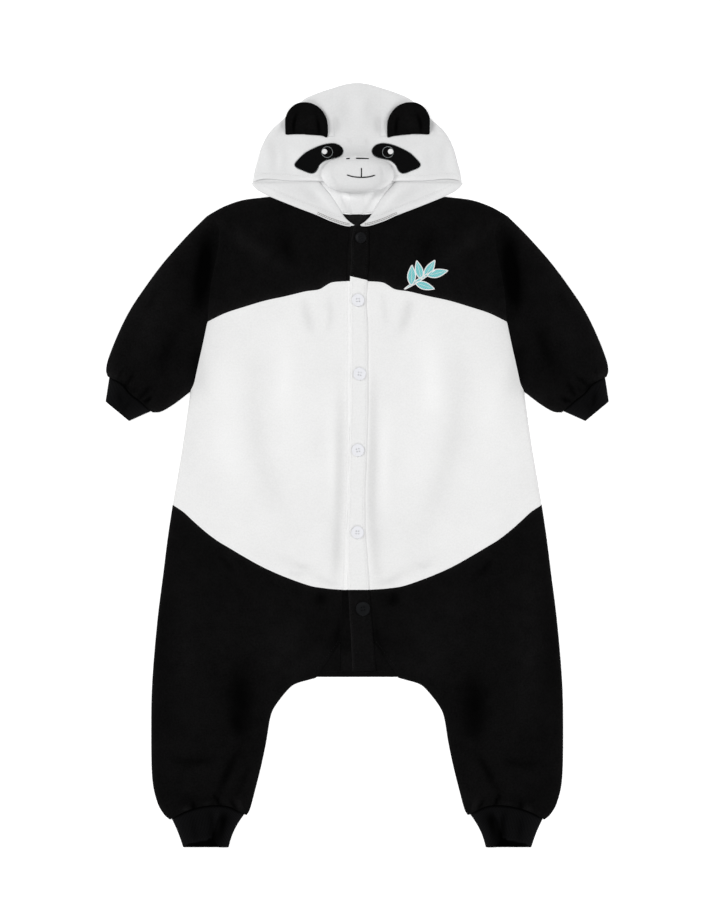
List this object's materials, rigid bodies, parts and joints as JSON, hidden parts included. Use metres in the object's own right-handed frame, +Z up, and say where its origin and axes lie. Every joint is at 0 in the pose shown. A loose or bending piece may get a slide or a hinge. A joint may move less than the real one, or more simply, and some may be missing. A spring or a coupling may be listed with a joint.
{
  "type": "panda onesie",
  "caption": "Hooded black and white fleece all-in-one with a panda face on the hood, a buttoned front and ribbed cuffs, laid out flat on its back.",
  "frame": {"origin": "on the surface it lies on, under the middle of the laid-out garment, halfway between the ankle hems and the top of the hood", "axes": "+X to the wearer's left, across the garment; +Y from the ankles toward the hood; +Z up from the surface, out of the front of the garment"},
  "size_m": [1.006, 1.528, 0.0398],
  "materials": {
    "fleece_white": "brushed polar fleece, white, short soft nap",
    "fleece_black": "brushed polar fleece, black, short soft nap",
    "rib_black": "black rib knit",
    "felt_black": "black felt applique with an embroidered edge",
    "button_white": "satin white resin",
    "button_black": "satin black resin",
    "patch_teal": "teal satin-stitch embroidery with a white edge"
  },
  "bodies": {
    "root": {"ankle_cuff_left": "rib_black", "ankle_cuff_right": "rib_black", "back_body": "fleece_white", "back_leg_left": "fleece_black", "back_leg_right": "fleece_black", "back_yoke": "fleece_black", "band_body": "fleece_white", "band_leg": "fleece_black", "band_yoke": "fleece_black", "button_1_black": "button_black", "button_2_white": "button_white", "button_3_white": "button_white", "button_4_white": "button_white", "button_5_white": "button_white", "button_6_black": "button_black", "chest_sprig": "patch_teal", "crotch_gusset": "fleece_black", "ear_left": "fleece_black", "ear_right": "fleece_black", "eye_patch_left": "felt_black", "eye_patch_right": "felt_black", "front_body_left": "fleece_white", "front_body_right": "fleece_white", "front_leg_left": "fleece_black", "front_leg_right": "fleece_black", "front_yoke_left": "fleece_black", "front_yoke_right": "fleece_black", "hood_back_left": "fleece_white", "hood_back_right": "fleece_white", "hood_back_strip": "fleece_white", "hood_crown": "fleece_white", "hood_face_band": "fleece_white", "hood_side_left": "fleece_white", "hood_side_right": "fleece_white", "muzzle": "fleece_white", "nose": "felt_black", "sleeve_left": "fleece_black", "sleeve_right": "fleece_black", "stand_body": "fleece_white", "stand_leg": "fleece_black", "stand_yoke": "fleece_black", "wrist_cuff_left": "rib_black", "wrist_cuff_right": "rib_black"}
  },
  "joints": []
}
